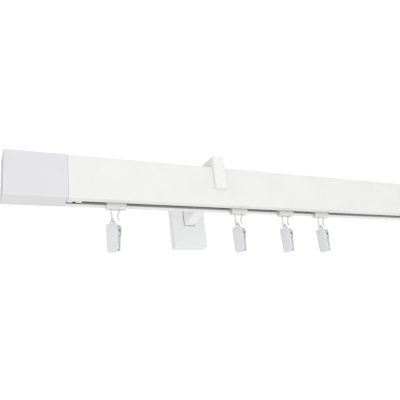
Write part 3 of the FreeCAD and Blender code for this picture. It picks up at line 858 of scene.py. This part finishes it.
def make_sky():
    """Soft white light from all round: full behind the rail, lower in front and behind on its left."""
    world = bpy.data.worlds.new("studio")
    bpy.context.scene.world = world
    world.use_nodes = True
    tree = world.node_tree
    way = add_node(tree, "SeparateXYZ", {"Vector": add_node(tree, "TexCoord").outputs["Generated"]})

    def across(axis, start, end, low, high, interpolation="SMOOTHSTEP"):
        """A value that goes from low to high between two places on an axis."""
        sockets = {"Value": way.outputs[axis], "From Min": start, "From Max": end,
                   "To Min": low, "To Max": high}
        return add_node(tree, "MapRange", sockets, interpolation_type=interpolation).outputs["Result"]

    front = across("Z", -1.0, 1.0, SKY_FRONT_LOW, SKY_FRONT_HIGH, "LINEAR")
    behind = across("X", -0.5, 0.0, SKY_BEHIND_LEFT, SKY_BEHIND)
    strength = add_node(tree, "Mix", {0: across("Y", 0.0, 0.4, 0.0, 1.0), 2: front, 3: behind}).outputs[0]
    background = tree.nodes["Background"]
    background.inputs["Color"].default_value = (1.0, 1.0, 1.0, 1.0)
    tree.links.new(strength, background.inputs["Strength"])


def soft_light(name, place, target, size, watts):
    """A square softbox at a place, turned to its target."""
    light = bpy.data.lights.new(name, "AREA")
    light.shape = "RECTANGLE"
    light.size, light.size_y = size
    light.energy = watts
    lamp = bpy.data.objects.new(name, light)
    lamp.location = place
    lamp.rotation_euler = (Vector(target) - Vector(place)).to_track_quat("-Z", "Y").to_euler()
    bpy.context.collection.objects.link(lamp)


def make_camera():
    """The photograph's viewpoint: below the rail, left of the bracket, rolled a little."""
    yaw, pitch, roll = (math.radians(angle) for angle in (CAMERA_YAW, CAMERA_PITCH, CAMERA_ROLL))
    ahead = Vector((math.sin(yaw) * math.cos(pitch), math.cos(yaw) * math.cos(pitch), math.sin(pitch)))
    level = Vector((math.cos(yaw), -math.sin(yaw), 0.0))
    upright = level.cross(ahead)
    right = math.cos(roll) * level + math.sin(roll) * upright
    up = -math.sin(roll) * level + math.cos(roll) * upright
    data = bpy.data.cameras.new("camera")
    data.lens = CAMERA_LENS
    data.sensor_width = 36.0
    data.clip_start = 0.01
    camera = bpy.data.objects.new("camera", data)
    turn = Matrix((right, up, -ahead)).transposed().to_4x4()
    camera.matrix_world = Matrix.Translation(CAMERA_PLACE) @ turn
    bpy.context.collection.objects.link(camera)
    bpy.context.scene.camera = camera


make_camera()
make_sky()
make_floor()
soft_light("low_softbox", LOW_PLACE, LOW_TARGET, SOFTBOX_SIZE, LOW_WATTS)
soft_light("left_softbox", LEFT_PLACE, LEFT_TARGET, SOFTBOX_SIZE, LEFT_WATTS)

# Injection-moulded ABS: an even, faintly cool white with no sharp highlight.
cover_plastic = finish("moulded_cover_plastic", "#f0f1f1", "#edeeee", roughness=0.45,
                       grain_mm=0.5, grain_height_mm=0.008)
glider_plastic = glider_finish()
# Sprayed lacquer on drawn spring wire: pale grey, with a soft streak of light along each bend.
wire_lacquer = finish("lacquered_spring_wire", "#dddfe0", "#d5d7d9", roughness=0.35,
                      grain_mm=0.6, grain_height_mm=0.006)
# Stoved lacquer on folded sheet steel: cool pale grey, glossy enough for its folds to catch the light.
clip_lacquer = finish("lacquered_folded_steel", "#dedfe2", "#dcddde", roughness=0.35,
                      grain_mm=0.7, grain_height_mm=0.006)
# Bright zinc plating on turned and pressed steel: a bluish grey metal with soft reflections.
zinc_steel = finish("zinc_plated_steel", "#8e9092", "#828588", roughness=0.35,
                    grain_mm=0.3, grain_height_mm=0.004, metallic=1.0)
# Oil-blackened steel: near black, with a dull sheen on the socket's rim.
black_steel = finish("blackened_steel", "#2a2b2d", "#222325", roughness=0.45,
                     grain_mm=0.3, grain_height_mm=0.004, metallic=1.0)

paint(["rail_profile"], rail_finish())
paint(["end_cap_left", "end_cap_right"], cap_finish())
paint(["end_stop_left", "end_stop_right"], stop_finish())
paint(["bracket_left", "bracket_right"], bracket_finish())
paint(["bracket_cover_left", "bracket_cover_right"], cover_plastic)
paint(["clamp_nuts"], zinc_steel)
make_piece("grub_screws", joined([grub_screw(STOP_SCREW_X), grub_screw(-STOP_SCREW_X)]), black_steel,
           "track", "stop_grub_screws", 50.0)
make_piece("bracket_clamp_screws", joined([clamp_screw(-CLAMP_X), clamp_screw(CLAMP_X)]), zinc_steel,
           "track", "clamp_screws", 50.0)

for number in range(1, 5):
    glider_set = "glider_set_%d" % number
    clip_set = "clip_set_%d" % number
    make_piece("moulded_glider_%d" % number, at_glider(glider_body(), number), glider_plastic,
               glider_set, "glider_%d" % number)
    make_piece("hook_wires_%d" % number, at_glider(hook_wires(), number), wire_lacquer,
               glider_set, "glider_hook_%d" % number)
    make_piece("bail_wire_%d" % number, at_clip(bail_wire(), number), wire_lacquer,
               clip_set, "clip_bail_%d" % number)
    make_piece("front_jaw_%d" % number, at_clip(front_jaw(), number), clip_lacquer,
               clip_set, "clip_front_jaw_%d" % number)
    make_piece("back_jaw_%d" % number, at_clip(back_jaw(), number), clip_lacquer,
               "clip_jaw_%d" % number, "clip_back_jaw_%d" % number)
    make_piece("rivet_pin_%d" % number, at_clip(clip_pin(), number), zinc_steel,
               clip_set, "clip_pin_%d" % number)
    make_piece("leaf_spring_%d" % number, at_clip(clip_spring(), number), zinc_steel,
               clip_set, "clip_spring_%d" % number)

bpy.context.scene.view_settings.view_transform = "Standard"
